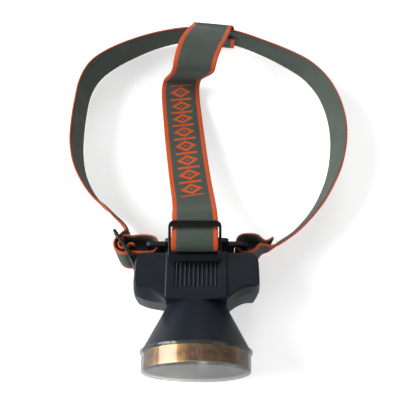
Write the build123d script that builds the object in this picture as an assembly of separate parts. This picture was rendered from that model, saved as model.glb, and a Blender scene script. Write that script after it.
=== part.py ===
from build123d import *

import math
import os

# Headlamp with a cone-shaped lamp head, a tilting bracket, an adjustable head band and an over-head strap.
# Millimetres. Row frame: the origin is the centre of the forehead pad's rear face, +Z is up, the beam leaves
# towards -Y and the wearer's head is towards +Y. The lamp lies on a table, so the lamp head and its bracket
# are pitched nose-up. Both are drawn in an upright "lamp frame" (x right, y rearward, z up) and then pitched.

# ---- driving dimensions -------------------------------------------------------------------------
LAMP_PITCH = 13.0            # nose-up angle of the lamp head and bracket, degrees
WALL = 2.0                   # thickness of the moulded casings
FIT_GAP = 0.15               # gap between casings and the pieces that sit in them

BODY_REAR = -10.6            # y of the flat rear of the body
BODY_HALF_HEIGHT = 19.2
BODY_HALF_WIDTH = 42.2       # at mid height; the sides draw in towards the top and bottom
SIDE_DRAFT = 1.8
SADDLE_HALF_WIDTH = 20.0     # raised centre block
SADDLE_HALF_HEIGHT = 20.0
NECK_Y = -42.8
NECK_RADIUS = 19.8
CONE_FRONT_Y = -71.4
CONE_FRONT_RADIUS = 34.4

CAP_RADIUS = 34.5            # clear lens cap
CAP_FRONT_Y = -85.2
CAP_WALL = 1.4
LENS_THICKNESS = 1.8
BEAD_RADIUS = 35.85
TRIM_RADIUS = 32.4           # gold trim band inside the clear skirt
TRIM_THICKNESS = 0.5

RIB_COUNT = 10
RIB_PITCH = 2.8
RIB_WIDTH = 1.1
RIB_FIRST_Y = -17.8
RIB_LAST_Y = -34.8
RIB_PANEL_DEPTH = 0.7

SCREW_X = 35.0               # four casing screws
SCREW_Z = 13.6
SCREW_SHANK_RADIUS = 1.2
SCREW_HEAD_RADIUS = 2.3
SCREW_TIP_Y = -20.0

HINGE_Y = -6.2               # tilt axis, along x, under the bracket
HINGE_Z = -17.8
KNUCKLE_RADIUS = 3.0
KNUCKLE_HALF = 9.2
LUG_INNER = 9.5
LUG_OUTER = 14.5
PIN_RADIUS = 1.2
RUNNING_GAP = 0.05
TONGUE_HALF = 4.0            # detent tongue in the bracket, and the flutes it clicks into
TONGUE_GAP = 0.8

PLATE_FRONT = -6.0           # bracket plate, between y = PLATE_FRONT and y = PLATE_REAR
PLATE_REAR = -3.0
PLATE_HALF_WIDTH = 34.5
PLATE_HALF_HEIGHT = 18.8
SLOT_INNER = 25.2            # side slots for the head band
SLOT_OUTER = 30.0
SLOT_HALF_HEIGHT = 16.0
LOOP_HALF_WIDTH = 21.0       # loop for the over-head strap, above the plate
LOOP_TOP = 24.6
LOOP_SLOT = (18.9, 22.0)
PAD_HALF_WIDTH = 23.5
PAD_HALF_HEIGHT = 14.0

WEBBING_WIDTH = 30.0
WEBBING_THICKNESS = 1.8
LOOP_SLOT_HALF_WIDTH = 16.8
TABLE_Z = -19.1              # height of the surface that the whole lamp rests on

SLIDER_LENGTH = 26.0
SLIDER_WIDTH = 34.5
SLIDER_THICKNESS = 2.2
SLIDER_END_BAR = 4.0
SLIDER_CENTRE_BAR = 3.0
SLIDER_SLOT_WIDTH = 31.0

LED_BOARD_RADIUS = 8.0
LED_BOARD_FRONT = -51.2
LED_BOARD_REAR = -49.6
SINK_RADIUS = 13.0           # aluminium slug behind the emitter board
SINK_REAR = -40.5
SHELF_Y = -46.2              # front of the inner shelf that the slug's flange rests on
WIRE_HALF_SPACING = 6.5      # the two wires pass through the slug

CELL_RADIUS = 9.2            # 18650 cell, lying across the body
CELL_LENGTH = 65.2
CELL_Y = -23.0
CELL_Z = 7.8

BOARD_TOP = -6.0             # driver board, under the cell
BOARD_THICKNESS = 1.2
BOARD_HALF_LENGTH = 30.0
BOARD_FRONT = -34.0
BOARD_REAR = -13.5
BUTTON_Y = -24.0
BUTTON_RADIUS = 5.5
BUTTON_PROUD = 1.2

PORT_Y = -23.0               # charging port in the right-hand end
PORT_Z = -4.65
PORT_FLOOR_X = 40.2          # floor of the recess that the rubber cover sits in
FLAP_THICKNESS = 1.0
FLAP_HALF_WIDTH = 6.5
FLAP_BOTTOM_Z = -10.2        # axis of the cover's hinge
FLAP_TOP_Z = -1.6
INDICATOR_Z = 4.5
INDICATOR_RADIUS = 1.2


# ---- helpers ------------------------------------------------------------------------------------
def pitched(shape):
    """Turns a shape from the lamp frame into the row frame."""
    return Rot(-LAMP_PITCH, 0, 0) * shape


def to_row(x, y, z):
    """A lamp-frame point in the row frame."""
    a = math.radians(LAMP_PITCH)
    return Vector(x, y * math.cos(a) + z * math.sin(a), z * math.cos(a) - y * math.sin(a))


def block(x0, x1, y0, y1, z0, z1):
    """A box between two corners."""
    return Pos((x0 + x1) / 2, (y0 + y1) / 2, (z0 + z1) / 2) * Box(x1 - x0, y1 - y0, z1 - z0)


def disc_y(radius, y0, y1, x=0.0, z=0.0):
    """A cylinder along y."""
    return Pos(x, (y0 + y1) / 2, z) * Rot(90, 0, 0) * Cylinder(radius, abs(y1 - y0))


def rod_x(radius, x0, x1, y=0.0, z=0.0):
    """A cylinder along x."""
    return Pos((x0 + x1) / 2, y, z) * Rot(0, 90, 0) * Cylinder(radius, abs(x1 - x0))


def post_z(radius, z0, z1, x=0.0, y=0.0):
    """A cylinder along z."""
    return Pos(x, y, (z0 + z1) / 2) * Cylinder(radius, abs(z1 - z0))


def turned(profile):
    """Turns a closed (radius, y) profile about the beam axis."""
    face = make_face(Polyline(*[(r, y) for r, y in profile], close=True))
    return revolve(face, Axis.Y, 360)


def tube(points, radius):
    """A round wire through the points."""
    path = Spline(*points)
    start = Plane(origin=path @ 0, z_dir=path % 0)
    return sweep(start * Circle(radius), path=path)


def both_sides(shape):
    """A shape and its mirror image across the middle plane."""
    return shape + mirror(shape, Plane.YZ)


# ---- body ---------------------------------------------------------------------------------------
# Front edge of each end of the body, seen from above: half-width and depth, from the corner to the neck.
# The cell side (-x) is fuller than the charging side (+x); the top face is the same on both sides.
CELL_SIDE = [(0.0, -31.0), (-3.6, -38.4), (-11.2, -41.0), (-17.2, -42.0)]
CHARGE_SIDE = [(0.0, -28.5), (-3.0, -34.4), (-11.4, -37.8), (-16.9, -40.2)]
TOP_FACE = [(0.0, -30.5), (-2.8, -34.3), (-9.4, -34.9), (-16.0, -38.6)]
SHOULDER_Z = 9.5             # the ends stand upright up to here, then slope back to the top face


def half_outline(z, inset, draft, front_edge, corner):
    """Edges of one half of the plan outline, from the middle of the rear to the middle of the front."""
    side = BODY_HALF_WIDTH - draft - inset
    start, shoulder, middle, waist = [(side + dx, y + inset) for dx, y in front_edge]
    neck = (NECK_RADIUS - inset, NECK_Y + inset)
    return [
        Line((0, BODY_REAR, z), (side - corner, BODY_REAR, z)),
        RadiusArc((side - corner, BODY_REAR, z), (side, BODY_REAR - corner, z), corner),
        Line((side, BODY_REAR - corner, z), (*start, z)),
        Spline((*start, z), (*shoulder, z), tangents=((0, -1), (-1, -0.25))),
        Spline((*shoulder, z), (*middle, z), (*waist, z), (*neck, z)),
        Line((*neck, z), (0, neck[1], z)),
    ]


def body_section(z, inset, draft, cell_side, charge_side):
    """Closed plan outline of the body at height z."""
    corner = 7.0 if inset == 0 else 2.5
    right = half_outline(z, inset, draft, charge_side, corner)
    left = [edge.mirror(Plane.YZ) for edge in half_outline(z, inset, draft, cell_side, corner)]
    return make_face(Wire(right + left).edges())


def body_block(inset):
    """The body without its centre block: upright ends that slope back to the top and bottom faces."""
    upper = loft([
        body_section(0, inset, 0, CELL_SIDE, CHARGE_SIDE),
        body_section(SHOULDER_Z, inset, SIDE_DRAFT / 3, CELL_SIDE, CHARGE_SIDE),
        body_section(BODY_HALF_HEIGHT - inset, inset, SIDE_DRAFT, TOP_FACE, TOP_FACE),
    ], ruled=True)
    return upper + mirror(upper, Plane.XY)


def saddle(inset):
    """Raised centre block with a gently curved front edge."""
    half = SADDLE_HALF_WIDTH - inset
    height = SADDLE_HALF_HEIGHT - inset
    side_front = NECK_Y + 1.6 + inset
    outline = Polyline((-half, side_front), (-half, BODY_REAR), (half, BODY_REAR), (half, side_front))
    front = ThreePointArc((half, side_front), (0, NECK_Y - 0.5 + inset), (-half, side_front))
    solid = extrude(make_face([outline, front]), height, both=True)
    if inset == 0:
        long_edges = solid.edges().filter_by(Axis.Y)
        solid = fillet(long_edges, 1.0)
    return solid


def cone(inset):
    """Neck and cone of the lamp head."""
    return turned([
        (0, BODY_REAR - 20.0),
        (NECK_RADIUS - inset, BODY_REAR - 20.0),
        (NECK_RADIUS - inset, NECK_Y),
        (CONE_FRONT_RADIUS - inset, CONE_FRONT_Y - (0.05 if inset else 0)),
        (0, CONE_FRONT_Y - (0.05 if inset else 0)),
    ])


def screw_places():
    """Centres (x, z) of the four casing screws."""
    return [(x, z) for x in (-SCREW_X, SCREW_X) for z in (-SCREW_Z, SCREW_Z)]


def front_housing():
    """Body, centre block, neck and cone in one hollow moulding, open at the rear and the front."""
    shell = body_block(0)
    for z in (BODY_HALF_HEIGHT, -BODY_HALF_HEIGHT):
        rim = shell.edges().filter_by_position(Axis.Z, z - 0.01, z + 0.01)
        shell = fillet(rim, 1.6)
    shell = shell + saddle(0) + cone(0)
    hollow = body_block(WALL) + saddle(WALL) + cone(WALL)
    spigot_outer = CAP_RADIUS - CAP_WALL - 0.2
    spigot_inner = spigot_outer - 1.9
    spigot = disc_y(spigot_outer, CONE_FRONT_Y - 1.6, CONE_FRONT_Y + 2.0)
    spigot = spigot - disc_y(spigot_inner, CONE_FRONT_Y - 2.0, CONE_FRONT_Y + 3.0)
    shelf = disc_y(NECK_RADIUS - 0.8, SHELF_Y, SHELF_Y + 1.8)
    shelf = shelf - disc_y(SINK_RADIUS + 0.2, SHELF_Y - 1.0, SHELF_Y + 3.0)
    solid = shell - hollow + spigot + shelf
    for x, z in screw_places():
        post = disc_y(SCREW_SHANK_RADIUS + 1.0, BODY_REAR - 2.4, NECK_Y, x, z) & body_block(0.5)
        solid = solid + (post - disc_y(SCREW_SHANK_RADIUS + 0.05, BODY_REAR, SCREW_TIP_Y - 2.0, x, z))
    # two rails carry the driver board
    rail_top = BOARD_TOP - BOARD_THICKNESS - 0.05
    rail = block(25.3, 26.7, BOARD_FRONT + 1.0, BOARD_REAR - 1.5, WALL - BODY_HALF_HEIGHT - 0.3, rail_top)
    solid = solid + both_sides(rail)
    # ribbed grip panel on the top of the centre block
    panel_half = RIB_PITCH * RIB_COUNT / 2 + 0.3
    top = SADDLE_HALF_HEIGHT
    solid = solid - block(-panel_half, panel_half, RIB_LAST_Y, RIB_FIRST_Y, top - RIB_PANEL_DEPTH, top + 1)
    for i in range(RIB_COUNT):
        x = (i - (RIB_COUNT - 1) / 2) * RIB_PITCH
        rib = block(x - RIB_WIDTH / 2, x + RIB_WIDTH / 2, RIB_LAST_Y + 0.4, RIB_FIRST_Y - 0.4,
                    top - RIB_PANEL_DEPTH - 0.3, top + 0.1)
        solid = solid + fillet(rib.edges().filter_by(Axis.Y).group_by(Axis.Z)[-1], 0.4)
    # opening for the push button, in the underside
    solid = solid - post_z(BUTTON_RADIUS + 0.2, -SADDLE_HALF_HEIGHT - 1, -SADDLE_HALF_HEIGHT + 4, 0, BUTTON_Y)
    # charging port: a recess for the rubber cover, and the port's hole through the recess's floor
    outside = BODY_HALF_WIDTH + WALL
    inside = BODY_HALF_WIDTH - 3 * WALL
    half = FLAP_HALF_WIDTH + 0.25
    recess = block(PORT_FLOOR_X, outside, PORT_Y - half, PORT_Y + half, FLAP_BOTTOM_Z - 0.8, FLAP_TOP_Z + 0.2)
    port = block(inside, outside, PORT_Y - 4.6, PORT_Y + 4.6, PORT_Z - 2.85, PORT_Z + 2.85)
    light_hole = rod_x(INDICATOR_RADIUS + 0.05, inside, outside, PORT_Y, INDICATOR_Z)
    return solid - recess - port - light_hole


def rear_cover():
    """Flat rear cover with the centre knuckle of the tilt hinge and the ribs that hold the cell."""
    inset = WALL + FIT_GAP
    reach = BODY_HALF_WIDTH + WALL
    slab = block(-reach, reach, BODY_REAR - WALL, BODY_REAR, -reach, reach)
    plate = (body_block(inset) + saddle(inset)) & slab
    knuckle = rod_x(KNUCKLE_RADIUS, -KNUCKLE_HALF, KNUCKLE_HALF, HINGE_Y, HINGE_Z)
    web_top = HINGE_Z + KNUCKLE_RADIUS
    web = block(-KNUCKLE_HALF, KNUCKLE_HALF, BODY_REAR - 1.0, HINGE_Y, HINGE_Z + 0.2, web_top)
    solid = plate + knuckle + web
    for x in (-18.0, 18.0):
        rib_top = CELL_Z + CELL_RADIUS - 0.4
        solid = solid + block(x - 0.8, x + 0.8, CELL_Y + 3.0, BODY_REAR - 1.0, -1.0, rib_top)
    solid = solid - rod_x(CELL_RADIUS + FIT_GAP, -CELL_LENGTH / 2, CELL_LENGTH / 2, CELL_Y, CELL_Z)
    solid = solid - rod_x(PIN_RADIUS + RUNNING_GAP, -LUG_OUTER, LUG_OUTER, HINGE_Y, HINGE_Z)
    # detent flutes on the rear of the knuckle
    for step in range(9):
        a = math.radians(-30 + 18 * step)
        y = HINGE_Y + (KNUCKLE_RADIUS + 0.15) * math.cos(a)
        z = HINGE_Z + (KNUCKLE_RADIUS + 0.15) * math.sin(a)
        solid = solid - rod_x(0.4, -TONGUE_HALF, TONGUE_HALF, y, z)
    for x, z in screw_places():
        solid = solid - disc_y(SCREW_HEAD_RADIUS + 0.15, BODY_REAR - 1.1, BODY_REAR + 1, x, z)
        solid = solid - disc_y(SCREW_SHANK_RADIUS + 0.2, BODY_REAR - 3.0, BODY_REAR + 1, x, z)
    return solid


def housing_screws():
    """Four pan-head self-tapping screws with cross recesses."""
    solid = None
    for x, z in screw_places():
        head = disc_y(SCREW_HEAD_RADIUS, BODY_REAR - 1.05, BODY_REAR - 0.05, x, z)
        shank = disc_y(SCREW_SHANK_RADIUS, SCREW_TIP_Y, BODY_REAR - 1.0, x, z)
        low = BODY_REAR - 0.7
        cross = block(x - 1.3, x + 1.3, low, BODY_REAR, z - 0.25, z + 0.25)
        cross = cross + block(x - 0.25, x + 0.25, low, BODY_REAR, z - 1.3, z + 1.3)
        screw = head + shank - cross
        solid = screw if solid is None else solid + screw
    return solid


# ---- optics -------------------------------------------------------------------------------------
def lens_cap():
    """Clear cup: a flat front lens, a skirt and a rear bead."""
    inner = CAP_RADIUS - CAP_WALL
    y_bead = CONE_FRONT_Y - 0.1
    return turned([
        (0, CAP_FRONT_Y), (CAP_RADIUS - 1.2, CAP_FRONT_Y), (CAP_RADIUS - 0.3, CAP_FRONT_Y + 0.4),
        (CAP_RADIUS, CAP_FRONT_Y + 1.3), (CAP_RADIUS + 0.1, y_bead - 2.4), (BEAD_RADIUS - 0.3, y_bead - 2.0),
        (BEAD_RADIUS, y_bead - 1.4), (BEAD_RADIUS, y_bead - 0.5), (BEAD_RADIUS - 0.5, y_bead),
        (inner, y_bead), (inner, CAP_FRONT_Y + LENS_THICKNESS), (0, CAP_FRONT_Y + LENS_THICKNESS),
    ])


def trim_band():
    """Thin metallised band that shows through the clear skirt."""
    rear = CONE_FRONT_Y - 1.8
    front = CAP_FRONT_Y + LENS_THICKNESS + 0.2
    return disc_y(TRIM_RADIUS, front, rear) - disc_y(TRIM_RADIUS - TRIM_THICKNESS, front - 1, rear + 1)


REFLECTOR_VERTEX_Y = -52.0
REFLECTOR_FOUR_F = 32.0      # radius squared over depth
REFLECTOR_RIM_Y = -82.0


def parabola(r, lift=0.0):
    """(radius, y) of a point on the reflector's curve."""
    return r, REFLECTOR_VERTEX_Y + lift - r * r / REFLECTOR_FOUR_F


def reflector():
    """Metallised parabolic cup with a rim flange and a hole for the emitter."""
    radii = [4.2, 8.0, 12.0, 16.0, 20.0, 24.0, 27.5, 30.6]
    inner = Spline(*[parabola(r) for r in radii])
    outer = Spline(*[parabola(r, 1.3) for r in reversed(radii)])
    rim = Polyline(inner @ 1, (31.6, REFLECTOR_RIM_Y + 0.7), (31.6, REFLECTOR_RIM_Y + 1.7), outer @ 0)
    throat = Line(outer @ 1, inner @ 0)
    return revolve(make_face([inner, rim, outer, throat]), Axis.Y, 360)


def lens_gasket():
    """Rubber ring between the lens and the reflector's rim."""
    return Pos(0, REFLECTOR_RIM_Y - 0.3, 0) * Rot(90, 0, 0) * Torus(30.6, 0.6)


def led_board():
    """Star-shaped aluminium board with six notches."""
    board = disc_y(LED_BOARD_RADIUS, LED_BOARD_FRONT, LED_BOARD_REAR)
    reach = LED_BOARD_RADIUS + 0.2
    for step in range(6):
        a = math.radians(60 * step)
        notch = disc_y(1.2, LED_BOARD_FRONT - 1, LED_BOARD_REAR + 1, reach * math.cos(a), reach * math.sin(a))
        board = board - notch
    return board


def led_emitter():
    """Emitter package with its dome, soldered to the board."""
    front = LED_BOARD_FRONT - 0.8
    base = block(-1.75, 1.75, front, LED_BOARD_FRONT - 0.05, -1.75, 1.75)
    dome = Pos(0, front, 0) * Sphere(1.5) & block(-3, 3, front - 3, front + 0.5, -3, 3)
    return base + dome


def led_centring_ring():
    """White plastic ring that centres the emitter in the reflector."""
    rear = LED_BOARD_FRONT - 0.05
    return disc_y(4.05, rear - 2.35, rear) - disc_y(2.75, rear - 3, rear + 1)


def heat_sink():
    """Turned aluminium slug behind the emitter board, with cooling grooves and two wire holes."""
    slug = disc_y(SINK_RADIUS, LED_BOARD_REAR + 0.05, SINK_REAR)
    for y in (SINK_REAR - 3.1, SINK_REAR - 1.1):
        groove = disc_y(SINK_RADIUS + 1, y, y + 0.9) - disc_y(SINK_RADIUS - 2.5, y, y + 0.9)
        slug = slug - groove
    flange = disc_y(SINK_RADIUS + 3.5, SHELF_Y - 1.2, SHELF_Y - 0.05)
    hole = disc_y(1.4, LED_BOARD_REAR - 1, SINK_REAR + 1, WIRE_HALF_SPACING, 0)
    return slug + flange - both_sides(hole)


# ---- power and electronics ----------------------------------------------------------------------
def battery_cell():
    """Cell can with its raised positive end."""
    can = rod_x(CELL_RADIUS, -CELL_LENGTH / 2, CELL_LENGTH / 2 - 0.8, CELL_Y, CELL_Z)
    can = fillet(can.edges(), 0.8)
    return can + rod_x(2.8, CELL_LENGTH / 2 - 1.0, CELL_LENGTH / 2, CELL_Y, CELL_Z)


def battery_tabs():
    """Two spring tabs at the ends of the cell."""
    end = CELL_LENGTH / 2 + 0.05
    tab = block(end, end + 0.4, CELL_Y - 3.5, CELL_Y + 3.5, CELL_Z - 4, CELL_Z + 4)
    tab = tab - rod_x(1.0, end - 1, end + 1, CELL_Y, CELL_Z + 2.5)
    return both_sides(tab)


def driver_board():
    """Board with a tongue that carries the charging socket, and two fixing holes."""
    bottom = BOARD_TOP - BOARD_THICKNESS
    board = block(-BOARD_HALF_LENGTH, BOARD_HALF_LENGTH, BOARD_FRONT, BOARD_REAR, bottom, BOARD_TOP)
    tongue_end = BOARD_HALF_LENGTH + 6.5
    tongue = block(BOARD_HALF_LENGTH, tongue_end, PORT_Y - 5, PORT_Y + 5, bottom, BOARD_TOP)
    hole = post_z(1.1, bottom - 1, BOARD_TOP + 1, BOARD_HALF_LENGTH - 2.5, BOARD_FRONT + 2.5)
    return board + tongue - both_sides(hole)


def driver_components():
    """Controller, inductor, charging chip and passives on the driver board."""
    base = BOARD_TOP + 0.02
    inductor = block(-14, -8, -32.5, -26.5, base, base + 2.6)
    pieces = [
        block(-22, -16, -30.0, -24.0, base, base + 1.6),
        fillet(inductor.edges().filter_by(Axis.Z), 1.2),
        block(10, 15, -31.0, -26.0, base, base + 1.5),
        block(18, 21, -32.0, -28.0, base, base + 1.1),
        block(0, 2, -32.0, -28.5, base, base + 0.9),
    ]
    return Compound(children=[piece.solid() for piece in pieces])


def switch_body():
    """Push switch under the driver board, above the button's stem."""
    top = BOARD_TOP - BOARD_THICKNESS - 0.02
    body = block(-4, 4, BUTTON_Y - 4, BUTTON_Y + 4, top - 4.6, top)
    return body + post_z(1.6, top - 5.2, top - 4.5, 0, BUTTON_Y)


def switch_button():
    """Domed rubber-tipped button in the underside, with a flange that keeps it in the casing."""
    low = -SADDLE_HALF_HEIGHT - BUTTON_PROUD
    inner_face = -SADDLE_HALF_HEIGHT + WALL
    top = inner_face + 1.4
    cap = post_z(BUTTON_RADIUS, low, top, 0, BUTTON_Y)
    cap = fillet(cap.edges().group_by(Axis.Z)[0], 0.8)
    flange = post_z(BUTTON_RADIUS + 1.2, inner_face + 0.1, top, 0, BUTTON_Y)
    stem = post_z(1.8, top - 0.4, top + 3.1, 0, BUTTON_Y)
    grip = post_z(3.2, low - 1, low + 0.3, 0, BUTTON_Y) - post_z(2.4, low - 1, low + 0.3, 0, BUTTON_Y)
    return cap + flange + stem - grip


def usb_socket():
    """Small charging socket: a pressed shell and its tongue."""
    base = BOARD_TOP + 0.02
    shell = block(32.6, 38.3, PORT_Y - 3.8, PORT_Y + 3.8, base, base + 2.7)
    shell = fillet(shell.edges().filter_by(Axis.X), 0.5)
    hollow = block(34.0, 39.0, PORT_Y - 3.4, PORT_Y + 3.4, base + 0.35, base + 2.35)
    tongue = block(33.5, 37.8, PORT_Y - 2.4, PORT_Y + 2.4, base + 1.0, base + 1.5)
    return shell - hollow + tongue


def port_cover():
    """Rubber cover that hinges along its lower edge, with a plug that fills the port."""
    x0 = PORT_FLOOR_X + 0.1
    radius = FLAP_THICKNESS / 2
    flap = block(x0, x0 + FLAP_THICKNESS, PORT_Y - FLAP_HALF_WIDTH, PORT_Y + FLAP_HALF_WIDTH,
                 FLAP_BOTTOM_Z, FLAP_TOP_Z)
    flap = fillet(flap.edges().filter_by(Axis.X).group_by(Axis.Z)[-1], 2.2)
    barrel = Pos(x0 + radius, PORT_Y, FLAP_BOTTOM_Z) * Rot(90, 0, 0) * Cylinder(radius, 2 * FLAP_HALF_WIDTH)
    plug = block(x0 - 1.5, x0 + 0.2, PORT_Y - 4.0, PORT_Y + 4.0, PORT_Z - 2.2, PORT_Z + 1.9)
    plug = fillet(plug.edges().filter_by(Axis.X), 0.8)
    lip = block(x0 + 0.5, x0 + 1.5, PORT_Y - 3, PORT_Y + 3, FLAP_TOP_Z - 1.8, FLAP_TOP_Z - 1.0)
    return flap + barrel + plug + lip


def charge_indicator():
    """Light pipe above the port."""
    return rod_x(INDICATOR_RADIUS, BODY_HALF_WIDTH - 3.6, BODY_HALF_WIDTH - 0.5, PORT_Y, INDICATOR_Z)


def led_wires():
    """Two insulated wires from the driver board, through the heat sink, to the emitter board."""
    x = WIRE_HALF_SPACING
    z = BOARD_TOP + 0.7
    to_sink = [(-39.0, -1.0), (-42.0, 0.0), (LED_BOARD_REAR + 0.2, 0.0)]
    left = [(-x, -24.0, z), (-x, -25.6, z + 0.05), (-3.0, -33.0, -4.2)] + [(-x, *p) for p in to_sink]
    right = [(x, -24.0, z), (x, -29.0, z + 0.05), (x, -34.0, -4.2)] + [(x, *p) for p in to_sink]
    return tube(left, 0.6) + tube(right, 0.6)


def battery_wires():
    """Wires from the cell's end tabs down to the driver board."""
    x = CELL_LENGTH / 2 + 1.15
    z = BOARD_TOP + 0.6
    left = [(-x, -28.0, 5.0), (-x, -28.8, 1.0), (-x + 1.2, -29.0, -3.4), (-28.5, -29.0, z)]
    right = [(x, -28.0, 5.0), (x, -29.6, 1.0), (x - 1.2, -30.5, -3.4), (28.5, -30.5, z)]
    return tube(left, 0.5) + tube(right, 0.5)


# ---- bracket ------------------------------------------------------------------------------------
def rounded_plate(half_x, z0, z1, y0, y1, radius):
    """An upright plate with rounded corners."""
    solid = block(-half_x, half_x, y0, y1, z0, z1)
    return fillet(solid.edges().filter_by(Axis.Y), radius)


def back_plate():
    """Black bracket: a plate with side slots, a strap loop on top, hinge lugs and a detent tongue."""
    top = PLATE_HALF_HEIGHT
    plate = rounded_plate(PLATE_HALF_WIDTH, -top, top, PLATE_FRONT, PLATE_REAR, 4.0)
    crown = rounded_plate(LOOP_HALF_WIDTH, top - 8.8, LOOP_TOP, PLATE_FRONT, PLATE_REAR, 3.0)
    solid = plate + crown
    # softened outer edges, so that the webbing isn't cut
    rim = solid.edges().filter_by_position(Axis.Y, PLATE_FRONT - 0.01, PLATE_FRONT + 0.01)
    solid = fillet(rim, 0.8)
    for side in (-1, 1):
        x0, x1 = sorted((side * SLOT_INNER, side * SLOT_OUTER))
        slot = block(x0, x1, PLATE_FRONT - 1, PLATE_REAR + 1, -SLOT_HALF_HEIGHT, SLOT_HALF_HEIGHT)
        solid = solid - fillet(slot.edges().filter_by(Axis.Y), 1.2)
    half = LOOP_SLOT_HALF_WIDTH
    strap_slot = block(-half, half, PLATE_FRONT - 1, PLATE_REAR + 1, *LOOP_SLOT)
    solid = solid - fillet(strap_slot.edges().filter_by(Axis.Y), 0.8)
    # room for the knuckle, and the lugs beside it
    gap = KNUCKLE_HALF + 0.3
    solid = solid - block(-gap, gap, -12, 0, HINGE_Z - 6, HINGE_Z + KNUCKLE_RADIUS + 0.35)
    lug = rod_x(KNUCKLE_RADIUS, LUG_INNER, LUG_OUTER, HINGE_Y, HINGE_Z)
    lug = lug + block(LUG_INNER, LUG_OUTER, HINGE_Y, PLATE_REAR - 0.2, HINGE_Z, HINGE_Z + 6)
    solid = solid + both_sides(lug)
    solid = solid - rod_x(PIN_RADIUS + 0.01, -LUG_OUTER - 1, LUG_OUTER + 1, HINGE_Y, HINGE_Z)
    # detent tongue: a finger cut free on three sides, with a nose that rides on the knuckle's flutes
    relief = block(TONGUE_HALF, TONGUE_HALF + TONGUE_GAP, PLATE_FRONT - 1, PLATE_REAR + 1, HINGE_Z + 3, -3.0)
    return solid - both_sides(relief)


def hinge_pin():
    """Steel pin through the bracket's lugs and the cover's knuckle."""
    return rod_x(PIN_RADIUS, -LUG_OUTER, LUG_OUTER, HINGE_Y, HINGE_Z)


def forehead_pad():
    """Foam pad on the back of the bracket."""
    pad = rounded_plate(PAD_HALF_WIDTH, -PAD_HALF_HEIGHT, PAD_HALF_HEIGHT, PLATE_REAR, 0.0, 4.0)
    return fillet(pad.edges().filter_by_position(Axis.Y, -0.01, 0.01), 0.9)


# ---- webbing and sliders ------------------------------------------------------------------------
def smooth(stations, steps):
    """Catmull-Rom curve through stations, each a list of numbers."""
    path = []
    last = len(stations) - 1
    for i in range(last):
        p0, p1, p2, p3 = (stations[max(0, min(last, i + k))] for k in (-1, 0, 1, 2))
        for step in range(steps):
            t = step / steps
            w0 = t * (-1 + t * (2 - t)) / 2
            w1 = 1 + t * t * (-5 + 3 * t) / 2
            w2 = t * (1 + t * (4 - 3 * t)) / 2
            w3 = t * t * (t - 1) / 2
            path.append([w0 * a + w1 * b + w2 * c + w3 * d for a, b, c, d in zip(p0, p1, p2, p3)])
    path.append(stations[last])
    return path


def ribbon(stations, steps):
    """Webbing through stations, each a centre point and the direction across the webbing's width."""
    path = smooth([[*centre, *across] for centre, across in stations], steps)
    centres = [Vector(*p[:3]) for p in path]
    sections = []
    for i, point in enumerate(centres):
        along = (centres[min(i + 1, len(centres) - 1)] - centres[max(i - 1, 0)]).normalized()
        across = Vector(*path[i][3:]).normalized() * (WEBBING_WIDTH / 2)
        out = along.cross(across).normalized() * (WEBBING_THICKNESS / 2)
        corners = [point + across + out, point + across - out, point - across - out, point - across + out]
        sections.append(make_face(Polyline(*corners, close=True)))
    return loft(sections, ruled=True)


def standing(x, y, lean_x, lean_y, lift=0.0):
    """Station of the head band on the table. lean is how far its top edge stands out past its bottom edge."""
    up = math.sqrt(WEBBING_WIDTH ** 2 - lean_x ** 2 - lean_y ** 2)
    centre = Vector(x, y, TABLE_Z + up / 2 + 0.4 + lift)
    return centre, Vector(lean_x, lean_y, up) / WEBBING_WIDTH


def at_bracket(x, y):
    """Station of the head band beside the bracket, upright in the lamp frame."""
    return to_row(x, y, 0.0), to_row(0, 0, 1)


BAND_SLIDER_AT = (-50.0, -2.8)       # centre, in the lamp frame's plan
BAND_SLIDER_TURN = 56.4              # its length runs forward and inward, degrees from x


def at_band_slider(along, out):
    """Station given along the slider's length and out of its inner face."""
    a = math.radians(BAND_SLIDER_TURN)
    x = BAND_SLIDER_AT[0] + along * math.cos(a) + out * math.sin(a)
    y = BAND_SLIDER_AT[1] - along * math.sin(a) + out * math.cos(a)
    return at_bracket(x, y)


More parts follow.
